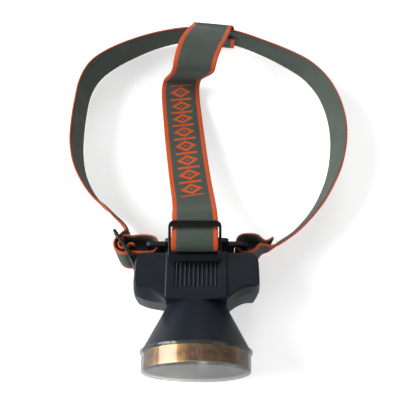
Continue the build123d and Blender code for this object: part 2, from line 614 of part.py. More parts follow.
def head_band():
    """One length of webbing: sewn round the right-hand bracket bar, once round the head, through the slider,
    round the left-hand bracket bar and back to the slider's centre bar."""
    right_loop = [
        (to_row(52.0, 5.2, -2.0), Vector(0, 0.05, 1)),
        (to_row(46.5, 2.4, -2.0), Vector(0, 0.08, 1)),
        at_bracket(41.0, 3.4), at_bracket(36.0, 4.2), at_bracket(31.0, 3.8), at_bracket(27.8, 1.6),
        at_bracket(26.9, -2.0), at_bracket(27.2, -5.6), at_bracket(29.6, -8.3), at_bracket(34.0, -8.9),
        at_bracket(38.5, -7.0), at_bracket(42.5, -3.0),
        (to_row(46.2, 0.0, -2.0), Vector(0, 0.08, 1)),
        (to_row(52.0, 1.6, -4.0), Vector(0, -0.05, 1)),
    ]
    round_head = [
        standing(59, 5.0, 0, -4), standing(72, 14.5, 0.6, -2.6), standing(85.5, 29.5, 1.5, -1.6),
        standing(94.5, 44.5, 2.4, -1.2), standing(101, 60, 3.6, -0.8), standing(104.8, 78, 4.4, 0),
        standing(105.2, 95, 4.0, 0.4), standing(102, 112, 2.4, 0.6), standing(95, 128, 0.5, 0),
        standing(83.5, 141.5, -1.0, -1.5), standing(67.5, 152, -1.5, -3.5),
        standing(50, 160.5, -1.5, -5.5, 0.6), standing(30, 167.6, -0.6, -6.8, 2.2),
        standing(9, 171.2, 0, -7.0, 2.4), standing(-12, 171.2, 0, -6.8, 1.6),
        standing(-33, 167.2, 1.2, -5.2, 0.3), standing(-51, 160.2, 1.2, -3.0), standing(-68, 151, 0.6, -1.2),
        standing(-80.5, 140.3, -0.2, 0), standing(-87.5, 126, -0.6, 0), standing(-90.2, 108, -0.9, 0),
        standing(-91.2, 92, -1.4, 0), standing(-90.9, 76, -1.8, 0), standing(-87.6, 60, -1.5, 0),
        standing(-81.2, 46.5, -1.2, 0), standing(-72.5, 35.0, -1.5, 0), standing(-62.5, 26.8, -2.5, 0.5, 0.8),
        standing(-55.0, 19.0, -4.0, 1.5, 2.0),
    ]
    left_loop = [
        at_band_slider(-9.5, 7.6), at_band_slider(-7.4, 3.6), at_band_slider(-6.4, 0.0),
        at_band_slider(-5.2, -3.4), at_band_slider(-1.6, -5.6), at_band_slider(2.6, -5.2),
        at_band_slider(5.8, -2.8), at_band_slider(7.4, 0.4),
        at_bracket(-42.0, -8.6), at_bracket(-37.0, -8.9), at_bracket(-32.0, -8.9), at_bracket(-28.2, -7.8),
        at_bracket(-26.8, -5.0), at_bracket(-26.8, -1.4), at_bracket(-28.6, 1.6), at_bracket(-32.5, 3.0),
        at_bracket(-38.0, 3.4), at_bracket(-43.5, 2.8), at_band_slider(-4.8, 3.8), at_band_slider(-3.0, 1.0),
        at_band_slider(-2.4, -1.6), at_band_slider(0.0, -2.7), at_band_slider(2.4, -1.6),
        at_band_slider(3.0, 1.0), at_band_slider(2.4, 4.2), at_bracket(-42.2, -3.2),
    ]
    return ribbon(right_loop + round_head + left_loop, 2)


TOP_SLIDER_AT = (-6.7, 28.8)         # centre (y, z), in the lamp frame
TOP_SLIDER_SLOPE = 24.0              # its front end is lower, degrees
TOP_SLIDER_X = -1.0


def slider_point(along, out):
    """(y, z) in the lamp frame of a point along the top slider's length and out of its upper face."""
    a = math.radians(TOP_SLIDER_SLOPE)
    y = TOP_SLIDER_AT[0] - along * math.cos(a) - out * math.sin(a)
    z = TOP_SLIDER_AT[1] - along * math.sin(a) + out * math.cos(a)
    return y, z


def crosswise(x, y, z):
    """Station of the over-head strap beside the bracket; its width runs along x."""
    return to_row(x, y, z), Vector(1, 0, 0)


def flat_strap(x, y, z, turn):
    """Station of the over-head strap. turn is the angle of its width in plan, degrees."""
    a = math.radians(turn)
    return Vector(x, y, z), Vector(math.cos(a), math.sin(a), 0)


# the rear of the head band, where the over-head strap is sewn round it: a shallow arc in plan
REAR_BAND_X = -1.5
REAR_BAND_Y = 171.65
REAR_BAND_Z = TABLE_Z + 17.4
REAR_BAND_BEND = 0.0041      # fall in y per x squared
REAR_BAND_LEAN = 7.0


def top_strap():
    """Over-head strap: sewn round the top slider's centre bar, through the bracket's loop, back through the
    slider, over the head and round the rear of the head band."""
    from_bar = [(-2.6, 1.7), (0.0, 2.35), (2.3, 1.9), (3.0, 0.0), (2.3, -1.9), (0.0, -2.45)]
    through_loop = [(-3.4, 25.8), (-1.8, 24.9), (-1.5, 22.9), (-2.6, 21.0), (-4.8, 20.7), (-7.4, 20.9),
                    (-9.8, 21.6), (-11.4, 23.2)]
    over_bar = [(6.0, -1.0), (5.6, 1.8), (3.6, 4.2), (0.2, 4.9), (-3.2, 4.0), (-5.0, 1.8), (-6.2, -0.6),
                (-7.8, -2.3), (-9.8, -2.7), (-13.0, -2.7)]
    beside_bracket = [slider_point(*p) for p in from_bar] + through_loop
    beside_bracket += [slider_point(*p) for p in over_bar]
    stations = [crosswise(TOP_SLIDER_X, y, z) for y, z in beside_bracket]
    # down to the table, along it, then up in a loose fold to the rear of the head band
    stations += [flat_strap(*p) for p in (
        (-1.5, 19.5, 25.0, 4), (-2.2, 27.0, 15.0, 7), (-3.4, 36.0, 6.5, 9), (-5.2, 47.0, 2.2, 8),
        (-8.0, 67.0, -3.0, 7), (-10.4, 86.0, -6.5, 7), (-12.5, 104.0, -11.0, 6), (-14.1, 119.0, -14.6, 5),
        (-14.7, 129.4, -14.7, 4), (-14.1, 134.0, -13.6, 3), (-12.9, 135.6, -9.6, 2), (-10.8, 133.4, -2.0, 1),
        (-8.2, 130.0, 7.0, 0), (-5.8, 126.6, 16.0, -1), (-3.9, 123.8, 24.5, -3), (-2.7, 122.9, 30.4, -6),
        (-1.8, 125.2, 34.4, -10), (-0.5, 130.0, 36.0, -14), (1.4, 136.5, 35.6, -17), (3.9, 144.5, 32.0, -17),
        (6.2, 152.0, 26.8, -15), (7.9, 158.6, 21.6, -12), (9.1, 163.8, 16.8, -9))]
    # round the rear of the head band: over its top edge, down outside, under it and up inside
    lean = math.asin(REAR_BAND_LEAN / WEBBING_WIDTH)
    for up, out, x in (
            (16.4, 0.2, 10.0), (14.8, 2.2, 11.4), (8.0, 2.5, 12.8), (-8.0, 2.5, 13.5), (-14.2, 2.5, 13.5),
            (-16.0, 1.9, 13.5), (-16.6, 0.0, 13.5), (-16.2, -2.4, 13.5), (-14.6, -3.2, 13.5),
            (-8.0, -3.2, 13.5), (5.0, -3.2, 13.5)):
        bend = REAR_BAND_BEND * (x - REAR_BAND_X)
        y = REAR_BAND_Y - bend * (x - REAR_BAND_X) - up * math.sin(lean) + out * math.cos(lean)
        z = REAR_BAND_Z + up * math.cos(lean) + out * math.sin(lean)
        stations.append(flat_strap(x, y, z, -math.degrees(math.atan(2 * bend))))
    return ribbon(stations, 2)


def slider_frame():
    """Three-bar slider, flat in the XY plane: its length along x, the webbing's width along y."""
    frame = Box(SLIDER_LENGTH, SLIDER_WIDTH, SLIDER_THICKNESS)
    frame = fillet(frame.edges().filter_by(Axis.Z), 4.0)
    slot = (SLIDER_LENGTH - 2 * SLIDER_END_BAR - SLIDER_CENTRE_BAR) / 2
    for side in (-1, 1):
        x = side * (SLIDER_CENTRE_BAR + slot) / 2
        hole = Pos(x, 0, 0) * Box(slot, SLIDER_SLOT_WIDTH, 2 * SLIDER_THICKNESS)
        frame = frame - fillet(hole.edges().filter_by(Axis.Z), 1.0)
    return fillet(frame.edges().filter_by(Plane.XY), 0.5)


def band_slider():
    """Slider of the head band, standing on edge."""
    frame = Rot(0, 0, -BAND_SLIDER_TURN) * Rot(90, 0, 0) * slider_frame()
    return Pos(*BAND_SLIDER_AT, 0) * frame


def top_slider():
    """Slider of the over-head strap, lying over the rear of the body."""
    frame = Rot(TOP_SLIDER_SLOPE, 0, 0) * Rot(0, 0, -90) * slider_frame()
    y, z = TOP_SLIDER_AT
    return Pos(TOP_SLIDER_X, y, z) * frame


# ---- assembly -----------------------------------------------------------------------------------
in_lamp_frame = [
    front_housing, rear_cover, housing_screws, lens_cap, trim_band, lens_gasket, reflector, led_board,
    led_emitter, led_centring_ring, heat_sink, battery_cell, battery_tabs, driver_board, driver_components,
    switch_body, switch_button, usb_socket, port_cover, charge_indicator, led_wires, battery_wires,
    back_plate, hinge_pin, forehead_pad, band_slider, top_slider,
]
in_row_frame = [head_band, top_strap]

os.makedirs("parts", exist_ok=True)
for make in in_lamp_frame:
    export_step(pitched(make()), f"parts/{make.__name__}.step")
for make in in_row_frame:
    export_step(make(), f"parts/{make.__name__}.step")
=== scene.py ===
import math

import bmesh
import bpy
from mathutils import Euler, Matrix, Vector


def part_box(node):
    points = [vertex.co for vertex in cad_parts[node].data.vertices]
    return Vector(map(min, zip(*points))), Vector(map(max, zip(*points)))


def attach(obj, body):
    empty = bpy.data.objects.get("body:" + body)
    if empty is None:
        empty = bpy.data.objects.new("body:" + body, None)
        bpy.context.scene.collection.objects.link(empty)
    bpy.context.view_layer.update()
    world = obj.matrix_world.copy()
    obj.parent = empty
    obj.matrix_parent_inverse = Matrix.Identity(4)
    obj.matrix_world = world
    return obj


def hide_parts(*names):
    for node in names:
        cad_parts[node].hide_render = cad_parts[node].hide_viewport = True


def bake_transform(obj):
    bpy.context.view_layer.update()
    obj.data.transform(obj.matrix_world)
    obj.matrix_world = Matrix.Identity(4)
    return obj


# Headlamp on a pale floor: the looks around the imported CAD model. The scene is in metres in the row frame.
# Shapes are worked out in millimetres and scaled by MM. The lamp head and its bracket lie pitched nose-up in
# the row frame; "lamp frame" is their own upright frame (x right, y rearward, z up).

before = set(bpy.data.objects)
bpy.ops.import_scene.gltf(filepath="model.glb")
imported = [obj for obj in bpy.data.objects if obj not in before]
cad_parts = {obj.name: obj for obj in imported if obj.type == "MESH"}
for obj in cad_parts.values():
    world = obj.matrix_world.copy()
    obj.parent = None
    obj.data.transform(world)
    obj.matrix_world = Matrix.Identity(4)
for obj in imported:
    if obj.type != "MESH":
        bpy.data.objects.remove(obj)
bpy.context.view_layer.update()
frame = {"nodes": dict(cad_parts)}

MM = 0.001
LAMP_PITCH = math.radians(13.0)
TABLE_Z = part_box("head_band")[0].z / MM      # the floor under the lamp, mm
WEBBING_WIDTH = 30.0
WEBBING_THICKNESS = 1.8


def to_row(x, y, z):
    """A lamp-frame point in the row frame."""
    c, s = math.cos(LAMP_PITCH), math.sin(LAMP_PITCH)
    return Vector((x, y * c + z * s, z * c - y * s))


def linear(red, green, blue):
    """A screen colour, 0 to 255, as linear values with alpha."""
    return tuple((v / 255.0) ** 2.2 for v in (red, green, blue)) + (1.0,)


# ---- materials ----------------------------------------------------------------------------------
class Shader:
    """A material under construction. Its methods add nodes and return their output sockets."""

    def __init__(self, name):
        self.material = bpy.data.materials.new(name)
        self.material.use_nodes = True
        self.nodes = self.material.node_tree.nodes
        self.links = self.material.node_tree.links
        self.surface = self.nodes["Principled BSDF"]
        self.output = self.nodes["Material Output"]

    def add(self, kind, settings=(), **inputs):
        """A node, its settings as (name, value) pairs, and its inputs by name with _ for a space."""
        node = self.nodes.new("ShaderNode" + kind)
        for key, value in settings:
            setattr(node, key, value)
        for key, value in inputs.items():
            self.put(node, key.replace("_", " "), value)
        return node

    def put(self, node, socket, value):
        """Links or sets one input."""
        if isinstance(value, bpy.types.NodeSocket):
            self.links.new(value, node.inputs[socket])
        else:
            node.inputs[socket].default_value = value

    def finish(self, **inputs):
        """Sets the surface's inputs and returns the material."""
        for key, value in inputs.items():
            self.put(self.surface, key.replace("_", " "), value)
        return self.material

    def math(self, operation, *values):
        """A maths node on up to three values or sockets."""
        node = self.nodes.new("ShaderNodeMath")
        node.operation = operation
        for i, value in enumerate(values):
            self.put(node, i, value)
        return node.outputs[0]

    def mix(self, factor, low, high):
        """A colour between two colours."""
        node = self.nodes.new("ShaderNodeMix")
        node.data_type = "RGBA"
        for socket, value in ((0, factor), (6, low), (7, high)):
            self.put(node, socket, value)
        return node.outputs[2]

    def between(self, value, low, high, to_low=0.0, to_high=1.0):
        """value brought from low..high to to_low..to_high, and kept inside."""
        node = self.add("MapRange", Value=value, From_Min=low, From_Max=high, To_Min=to_low, To_Max=to_high)
        return node.outputs[0]

    def place(self, pitch=True):
        """The point being shaded, in mm: in the lamp frame, or in the row frame."""
        point = self.add("TexCoord").outputs["Object"]
        turn = LAMP_PITCH if pitch else 0.0
        return self.add("Mapping", Vector=point, Rotation=(turn, 0, 0), Scale=(1 / MM,) * 3).outputs[0]

    def split(self, vector):
        """x, y and z of a vector."""
        return self.add("SeparateXYZ", Vector=vector).outputs

    def noise(self, vector, scale, detail=3.0, roughness=0.55):
        """Noise from 0 to 1. scale is in waves per unit of the vector."""
        return self.add("TexNoise", Vector=vector, Scale=scale, Detail=detail, Roughness=roughness).outputs[0]

    def bump(self, height, distance, strength=1.0, normal=None):
        """A normal from a height of 0 to 1 that stands distance metres tall."""
        node = self.add("Bump", Height=height, Distance=distance, Strength=strength)
        if normal is not None:
            self.put(node, "Normal", normal)
        return node.outputs[0]

    def edge(self, radius):
        """(normal rounded over edges, how near an edge the point is from 0 to 1)."""
        rounded = self.add("Bevel", [("samples", 6)], Radius=radius).outputs[0]
        flat = self.add("NewGeometry").outputs["Normal"]
        same = self.add("VectorMath", [("operation", "DOT_PRODUCT")])
        self.put(same, 0, rounded)
        self.put(same, 1, flat)
        return rounded, self.between(same.outputs["Value"], 0.995, 0.86)


def scaled(colour, factor, lift=0.0):
    """A colour made darker or lighter."""
    return tuple(min(1.0, v * factor + lift) for v in colour[:3]) + (1,)


def moulded(name, colour, roughness, grain, edge, gloss=0.34):
    """Moulded plastic or rubber: fine grain, faint flow marks, softened edges and light scuffs. Its edges are
    painted paler, partly as rubbed wear and partly as a painted highlight. grain is the height of its grain
    and edge the radius of its edges, in mm."""
    s = Shader(name)
    place = s.place()
    flow = s.noise(place, 0.09, 4)
    spark = s.noise(place, 5.5, 2)
    scuff = s.between(s.noise(place, 0.8, 8, 0.72), 0.60, 0.72)
    rounded, near_edge = s.edge(edge * MM)
    # edges painted paler: partly rubbed wear, partly a painted highlight along them
    edge_wear_and_highlight = s.math("MULTIPLY", near_edge, s.between(s.noise(place, 1.3, 4), 0.42, 0.66))
    wear_and_highlight_tint = scaled(colour, 1.9, 0.01)
    tint = s.mix(flow, scaled(colour, 0.84), scaled(colour, 1.16))
    tint = s.mix(s.math("MULTIPLY", scuff, 0.16), tint, wear_and_highlight_tint)
    tint = s.mix(s.math("MULTIPLY", edge_wear_and_highlight, 0.45), tint, wear_and_highlight_tint)
    rough = s.math("ADD", roughness - 0.06, s.math("MULTIPLY", flow, 0.12))
    rough = s.math("ADD", rough, s.math("MULTIPLY", scuff, 0.10))
    normal = s.bump(spark, grain * MM, 0.8, rounded)
    return s.finish(Base_Color=tint, Roughness=rough, Normal=normal, Specular_IOR_Level=gloss)


def metal(name, colour, roughness, streak=(0.05, 6.0, 6.0)):
    """Bare or plated metal, with a painted highlight along its edges. streak is how often its fine streaks
    come along each lamp-frame axis, per mm.
    """
    s = Shader(name)
    place = s.place()
    stretched = s.add("Mapping", Vector=place, Scale=streak).outputs[0]
    lines = s.noise(stretched, 1.0, 4, 0.7)
    stain = s.noise(place, 0.35, 5)
    rounded, near_edge = s.edge(0.15 * MM)
    tint = s.mix(s.between(stain, 0.3, 0.7), scaled(colour, 0.72), colour)
    # edges painted paler towards white: a painted highlight
    tint = s.mix(s.math("MULTIPLY", near_edge, 0.4), tint, (0.9, 0.9, 0.88, 1))
    rough = s.math("ADD", roughness - 0.08, s.math("MULTIPLY", lines, 0.2))
    normal = s.bump(lines, 0.01 * MM, 0.6, rounded)
    return s.finish(Base_Color=tint, Metallic=1.0, Roughness=rough, Normal=normal)


def circuit_board(name, mask, copper, pitch):
    """Solder mask with tracks, pads and vias. pitch is their spacing in mm."""
    s = Shader(name)
    place = s.place()
    _, y, _ = s.split(place)
    cells = s.add("TexVoronoi", [("distance", "MANHATTAN")], Vector=place, Scale=1 / pitch, Randomness=0.35)
    via = s.between(cells.outputs["Distance"], 0.16, 0.13)
    rows = s.math("PINGPONG", s.math("ADD", y, s.math("MULTIPLY", s.noise(place, 0.2), 2.0)), pitch / 2)
    track = s.between(rows, pitch * 0.12, pitch * 0.08)
    tint = s.mix(s.math("MULTIPLY", track, 0.6), mask, scaled(mask, 1.5))
    tint = s.mix(via, tint, copper)
    height = s.math("MAXIMUM", via, s.math("MULTIPLY", track, 0.7))
    return s.finish(Base_Color=tint, Roughness=s.between(via, 0.0, 1.0, 0.35, 0.22), Metallic=via,
                    Normal=s.bump(height, 0.05 * MM))


def shrink_wrap(name, colour):
    """Glossy shrink wrap of the cell, with a generic stripe and slight wrinkles at its ends."""
    s = Shader(name)
    place = s.place()
    x, _, _ = s.split(place)
    end = s.between(s.math("ABSOLUTE", x), 26.0, 32.0)
    stretched = s.add("Mapping", Vector=place, Scale=(0.15, 1.6, 1.6)).outputs[0]
    wrinkle = s.noise(stretched, 1.0, 3)
    stripe = s.between(s.math("ABSOLUTE", s.math("SUBTRACT", x, 21.0)), 2.2, 2.0)
    tint = s.mix(stripe, colour, (0.75, 0.76, 0.78, 1))
    tint = s.mix(s.between(s.math("ABSOLUTE", x), 31.0, 31.4), tint, (0.62, 0.61, 0.58, 1))
    return s.finish(Base_Color=tint, Roughness=0.28,
                    Normal=s.bump(s.math("MULTIPLY", wrinkle, end), 0.25 * MM))


PLASTIC_IOR = 1.5


def clear_plastic(name, tint, haze):
    """Thin clear plastic: the view passes straight through it, under a sheen and fine scratches. It is
    painted darker where it is seen edge-on and near its edges, as painted shade. haze is how milky it is, 0
    to 1."""
    s = Shader(name)
    place = s.place()
    long_way = s.add("Mapping", Vector=place, Rotation=(0.3, 0.7, 0.2), Scale=(0.2, 3.0, 9.0)).outputs[0]
    scratches = s.noise(long_way, 1.0, 5)
    dust = s.between(s.noise(place, 2.2, 6, 0.7), 0.52, 0.72)
    rounded, near_edge = s.edge(0.35 * MM)
    normal = s.bump(scratches, 0.004 * MM, 0.5, rounded)
    facing = s.add("LayerWeight", Blend=0.35).outputs["Facing"]
    # painted shade: a dark outline where the plastic is seen edge-on and along its edges, in place of light
    # bent at its rims
    edgewise = s.mix(near_edge, scaled(tint, 0.40), (0.10, 0.11, 0.12, 1))
    rim = s.math("MAXIMUM", facing, near_edge)
    clear = s.add("BsdfTransparent", Color=s.mix(rim, tint, edgewise)).outputs[0]
    milk = s.add("BsdfDiffuse", Color=(0.82, 0.83, 0.81, 1), Normal=normal).outputs[0]
    cloudy = s.math("ADD", haze, s.math("MULTIPLY", dust, 0.05))
    body = s.add("MixShader", Fac=s.math("MULTIPLY", cloudy, s.math("SUBTRACT", 1.0, near_edge)))
    s.links.new(clear, body.inputs[1])
    s.links.new(milk, body.inputs[2])
    rough = s.between(scratches, 0.3, 0.8, 0.03, 0.14)
    gloss = s.add("BsdfGlossy", Roughness=rough, Normal=normal).outputs[0]
    behind = s.add("NewGeometry").outputs["Backfacing"]
    ior = s.between(behind, 0.0, 1.0, PLASTIC_IOR, 1 / PLASTIC_IOR)
    sheen = s.add("Fresnel", IOR=ior, Normal=normal).outputs[0]
    shell = s.add("MixShader", Fac=s.math("MINIMUM", s.math("MULTIPLY", sheen, 0.8), 0.6))
    s.links.new(body.outputs[0], shell.inputs[1])
    s.links.new(gloss, shell.inputs[2])
    s.links.new(shell.outputs[0], s.output.inputs["Surface"])
    s.nodes.remove(s.surface)
    return s.material


# the trim band's middle, along the lamp frame's y axis
trim_low, trim_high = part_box("trim_band")
trim_centre = (trim_low + trim_high) / 2 / MM
TRIM_MIDDLE_Y = trim_centre.y * math.cos(LAMP_PITCH) - trim_centre.z * math.sin(LAMP_PITCH)
TRIM_GROUPS = 9              # groups of bars round the band
TRIM_BARS = 9                # bars in the turn from one group to the next, of which five or so show
TRIM_GROUP_LENGTH = 22.6     # mm round the band from one group to the next


def gold_band(name):
    """Metallised film printed with a plain pattern of bars and dots, brushed round the ring, with a painted
    highlight along both its edges.
    """
    s = Shader(name)
    x, y, z = s.split(s.place())
    angle = s.math("ARCTAN2", x, z)

    def round_ring(turns, lines):
        """A point that runs round the ring and along it, for stretched noise."""
        spot = s.add("CombineXYZ", X=s.math("MULTIPLY", angle, turns), Y=s.math("MULTIPLY", y, lines))
        return spot.outputs[0]

    brushed = s.noise(round_ring(3.0, 9.0), 1.0, 5, 0.7)
    cloudy = s.noise(round_ring(7.0, 0.25), 1.0, 3)
    gold = s.mix(s.between(cloudy, 0.35, 0.68), linear(126, 80, 34), linear(196, 146, 72))
    # a group of bars, tapering to its ends, then a dot before the next group
    turn = s.math("MULTIPLY", angle, TRIM_GROUPS / (2 * math.pi))
    cell = s.math("SUBTRACT", s.math("FRACT", s.math("ADD", turn, 0.5)), 0.5)
    across = s.math("SUBTRACT", y, TRIM_MIDDLE_Y)
    in_group = s.between(s.math("ABSOLUTE", cell), 0.29, 0.285)
    bars = s.between(s.math("PINGPONG", s.math("MULTIPLY", cell, TRIM_BARS), 0.5), 0.24, 0.19)
    taper = s.math("MULTIPLY", s.math("ABSOLUTE", cell), 5.0)
    height = s.between(s.math("ADD", s.math("ABSOLUTE", across), taper), 2.5, 2.35)
    bar = s.math("MULTIPLY", s.math("MULTIPLY", bars, in_group), height)
    far = s.math("MULTIPLY", s.math("SUBTRACT", 0.5, s.math("ABSOLUTE", cell)), TRIM_GROUP_LENGTH)
    dot = s.between(s.math("ADD", s.math("POWER", far, 2.0), s.math("POWER", across, 2.0)), 1.3, 1.0)
    marks = s.math("MAXIMUM", bar, dot)
    ink = s.mix(dot, linear(150, 48, 24), linear(60, 32, 18))
    tint = s.mix(s.math("MULTIPLY", marks, 0.95), gold, ink)
    # both edges painted pale gold: a painted highlight, as on a rolled edge
    rim = s.between(s.math("ABSOLUTE", across), 4.55, 4.7)
    tint = s.mix(rim, tint, linear(246, 216, 140))
    rough = s.math("ADD", 0.40, s.math("MULTIPLY", brushed, 0.16))
    metallic = s.math("SUBTRACT", 1.0, s.math("MULTIPLY", marks, 0.8))
    return s.finish(Base_Color=tint, Metallic=metallic, Roughness=rough,
                    Normal=s.bump(brushed, 0.006 * MM, 0.6))


STRIPE_EDGE = 11.85          # where the coloured edge begins, mm from the webbing's middle line
MOTIF_REACH = 8.1            # half height of a diamond, and half length of a bar
MOTIF_HOLE = 4.6             # half height of the diamond's hollow
MOTIF_DOT = 1.3
MOTIF_BAR = 0.8              # half thickness of a bar
MOTIF_SLOPE = 1.7            # height of a diamond over its length
MOTIF_COUNT = 8


def woven(name, base, stripe, motif=None):
    """Elastic webbing. Its UV map holds the distance along and across in mm; "printed" is 1 on the printed
    face. motif is (start, end) of the woven pattern, in mm along the webbing."""
    s = Shader(name)
    u, v, _ = s.split(s.add("UVMap", [("uv_map", "webbing")]).outputs[0])
    printed = s.add("Attribute", [("attribute_name", "printed")]).outputs["Fac"]
    point = s.add("CombineXYZ", X=u, Y=v, Z=s.math("MULTIPLY", printed, 9.0)).outputs[0]
    # warp cords run along the webbing, picks cross them, offset from cord to cord
    cord = s.math("PINGPONG", v, 0.5)
    step = s.math("MULTIPLY", s.math("FLOOR", v), 0.37)
    pick = s.math("PINGPONG", s.math("ADD", u, step), 0.45)
    weave = s.math("ADD", s.math("MULTIPLY", cord, 1.0), s.math("MULTIPLY", pick, 1.1))
    fuzz = s.noise(point, 3.2, 4, 0.7)
    cloud = s.noise(point, 0.07, 4)
    shade = s.math("ADD", s.math("MULTIPLY", weave, 0.75), s.math("MULTIPLY", fuzz, 0.35))
    ragged = s.math("ADD", s.math("ABSOLUTE", v), s.math("MULTIPLY", pick, 0.5))
    edge = s.between(ragged, STRIPE_EDGE, STRIPE_EDGE + 0.2)
    edge = s.math("MULTIPLY", edge, s.between(printed, 0.30, 0.34))
    if motif:
        start, end = motif
        pitch = (end - start) / MOTIF_COUNT
        cell = s.math("MULTIPLY", s.math("SUBTRACT", u, start), 1 / pitch)
        along = s.math("MULTIPLY", s.math("SUBTRACT", s.math("FRACT", cell), 0.5), pitch)
        slope = s.math("MULTIPLY", s.math("ABSOLUTE", along), MOTIF_SLOPE)
        reach = s.math("ADD", slope, s.math("ABSOLUTE", v))
        reach = s.math("ADD", reach, s.math("MULTIPLY", pick, 0.5))
        diamond = s.between(reach, MOTIF_REACH + 0.2, MOTIF_REACH)
        outer = s.math("MULTIPLY", diamond, s.between(reach, MOTIF_HOLE - 0.2, MOTIF_HOLE))
        centre = s.between(reach, MOTIF_DOT + 0.2, MOTIF_DOT)
        gap = s.math("SUBTRACT", pitch / 2, s.math("ABSOLUTE", along))
        in_bar = s.between(ragged, MOTIF_REACH + 0.2, MOTIF_REACH)
        bar = s.math("MULTIPLY", s.between(gap, MOTIF_BAR + 0.15, MOTIF_BAR), in_bar)
        shape = s.math("MAXIMUM", s.math("MAXIMUM", outer, centre), bar)
        inside = s.math("MULTIPLY", s.between(u, start - 0.3, start), s.between(u, end + 0.3, end))
        face = s.math("MULTIPLY", inside, s.between(printed, 0.90, 0.95))
        edge = s.math("MAXIMUM", edge, s.math("MULTIPLY", shape, face))
    ground = s.mix(shade, scaled(base, 0.62), scaled(base, 1.38))
    bright = s.mix(shade, scaled(stripe, 0.66), scaled(stripe, 1.34))
    tint = s.mix(edge, ground, bright)
    tint = s.mix(s.between(cloud, 0.35, 0.75, 0.0, 0.05), tint, (0.32, 0.33, 0.31, 1))
    lint = s.between(s.noise(point, 1.9, 2), 0.73, 0.77, 0.0, 0.35)
    tint = s.mix(lint, tint, (0.55, 0.56, 0.52, 1))
    height = s.math("ADD", s.math("MULTIPLY", weave, 0.9), s.math("MULTIPLY", fuzz, 0.3))
    rough = s.between(shade, 0.2, 0.9, 0.92, 0.72)
    return s.finish(Base_Color=tint, Roughness=rough, Sheen_Weight=0.08, Sheen_Roughness=0.45,
                    Specular_IOR_Level=0.25, Normal=s.bump(height, 0.16 * MM, 0.9))


def thread(name, colour):
    """Twisted sewing thread, painted darker in the grooves of its twist as painted shade."""
    s = Shader(name)
    place = s.place(pitch=False)
    x, y, z = s.split(place)
    twist = s.math("PINGPONG", s.math("ADD", s.math("ADD", x, y), s.math("MULTIPLY", z, 1.3)), 0.14)
    # the twist's grooves painted darker: painted shade
    tint = s.mix(s.math("MULTIPLY", twist, 7.0), scaled(colour, 0.55), colour)
    return s.finish(Base_Color=tint, Roughness=0.7, Sheen_Weight=0.3, Normal=s.bump(twist, 0.06 * MM))


def foam(name, colour):
    """Closed-cell foam: a skin of small pits, painted darker inside as painted shade, over a cloudy tone."""
    s = Shader(name)
    place = s.place()
    cells = s.add("TexVoronoi", Vector=place, Scale=2.4).outputs["Distance"]
    pits = s.between(cells, 0.05, 0.45)
    cloud = s.noise(place, 0.25, 4)
    # the pits painted darker: painted shade, mixed with a cloudy tone that is the foam's own
    pit_shade_and_cloud = s.math("ADD", s.math("MULTIPLY", pits, 0.6), s.math("MULTIPLY", cloud, 0.4))
    tint = s.mix(pit_shade_and_cloud, scaled(colour, 0.5), scaled(colour, 1.5))
    return s.finish(Base_Color=tint, Roughness=0.92, Specular_IOR_Level=0.2, Normal=s.bump(pits, 0.14 * MM))


def phosphor(name):
    """Clear dome over a round of yellow phosphor on a white base."""
    s = Shader(name)
    place = s.place()
    x, _, z = s.split(place)
    radius = s.math("SQRT", s.math("ADD", s.math("MULTIPLY", x, x), s.math("MULTIPLY", z, z)))
    grain = s.noise(place, 6.0, 3)
    yellow = s.mix(grain, linear(225, 196, 60), linear(246, 226, 120))
    tint = s.mix(s.between(radius, 1.45, 1.55), yellow, linear(235, 235, 230))
    return s.finish(Base_Color=tint, Roughness=0.18, Coat_Weight=0.8, Normal=s.bump(grain, 0.01 * MM))


def floor_paper(name):
    """Matt white paper, lit a little from behind like a light table, so that shadows on it stay faint."""
    s = Shader(name)
    place = s.place(pitch=False)
    x, y, _ = s.split(place)
    far = s.math("SQRT", s.math("ADD", s.math("MULTIPLY", x, x), s.math("MULTIPLY", y, y)))
    fibre = s.noise(place, 0.8, 5)
    tint = s.mix(fibre, (0.90, 0.90, 0.90, 1), (0.94, 0.94, 0.94, 1))
    # reflections see the paper darker, as through a polarising filter
    reflected = s.add("LightPath").outputs["Is Glossy Ray"]
    glow = s.between(far, 500.0, 1600.0, 0.58, 1.1)
    glow = s.math("MULTIPLY", glow, s.between(reflected, 0.0, 1.0, 1.0, 0.5))
    tint = s.mix(s.math("MULTIPLY", reflected, 0.3), tint, (0.1, 0.1, 0.1, 1))
    return s.finish(Base_Color=tint, Roughness=0.9, Specular_IOR_Level=0.1, Emission_Color=tint,
                    Emission_Strength=glow, Normal=s.bump(fibre, 0.02 * MM, 0.3))


ORANGE = linear(192, 76, 30)
GREEN_GREY = linear(64, 73, 66)

